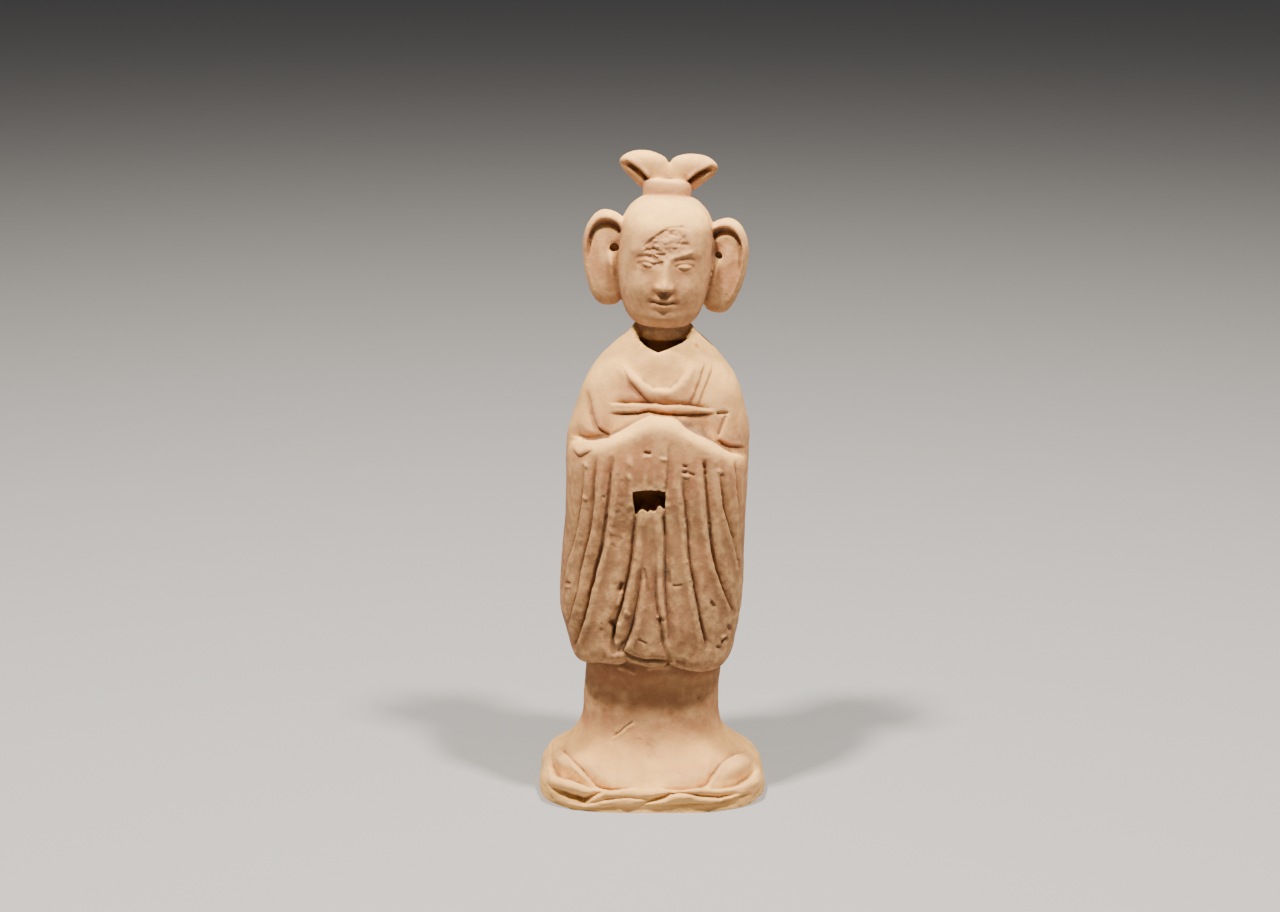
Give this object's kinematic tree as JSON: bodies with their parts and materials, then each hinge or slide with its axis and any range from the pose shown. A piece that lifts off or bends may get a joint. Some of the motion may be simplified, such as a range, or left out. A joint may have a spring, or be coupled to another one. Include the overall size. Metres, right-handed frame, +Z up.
{
  "type": "pottery tomb figure",
  "caption": "Standing robed attendant in unglazed fired clay, with very large ears, a tied hair bow, long joined sleeves with a blind tablet slot, and a spreading flat-bottomed base.",
  "frame": {"origin": "middle of the flat underside, on the surface that the figure stands on", "axes": "+Z up along the figure, +X to the figure's own left, -Y the way the figure faces"},
  "size_m": [0.0956, 0.0734, 0.2702],
  "materials": {
    "fired_clay": "unglazed matt pinkish-buff fired clay with fine grain, pits and traces of soil"
  },
  "bodies": {
    "root": {"figure": "fired_clay"}
  },
  "joints": []
}
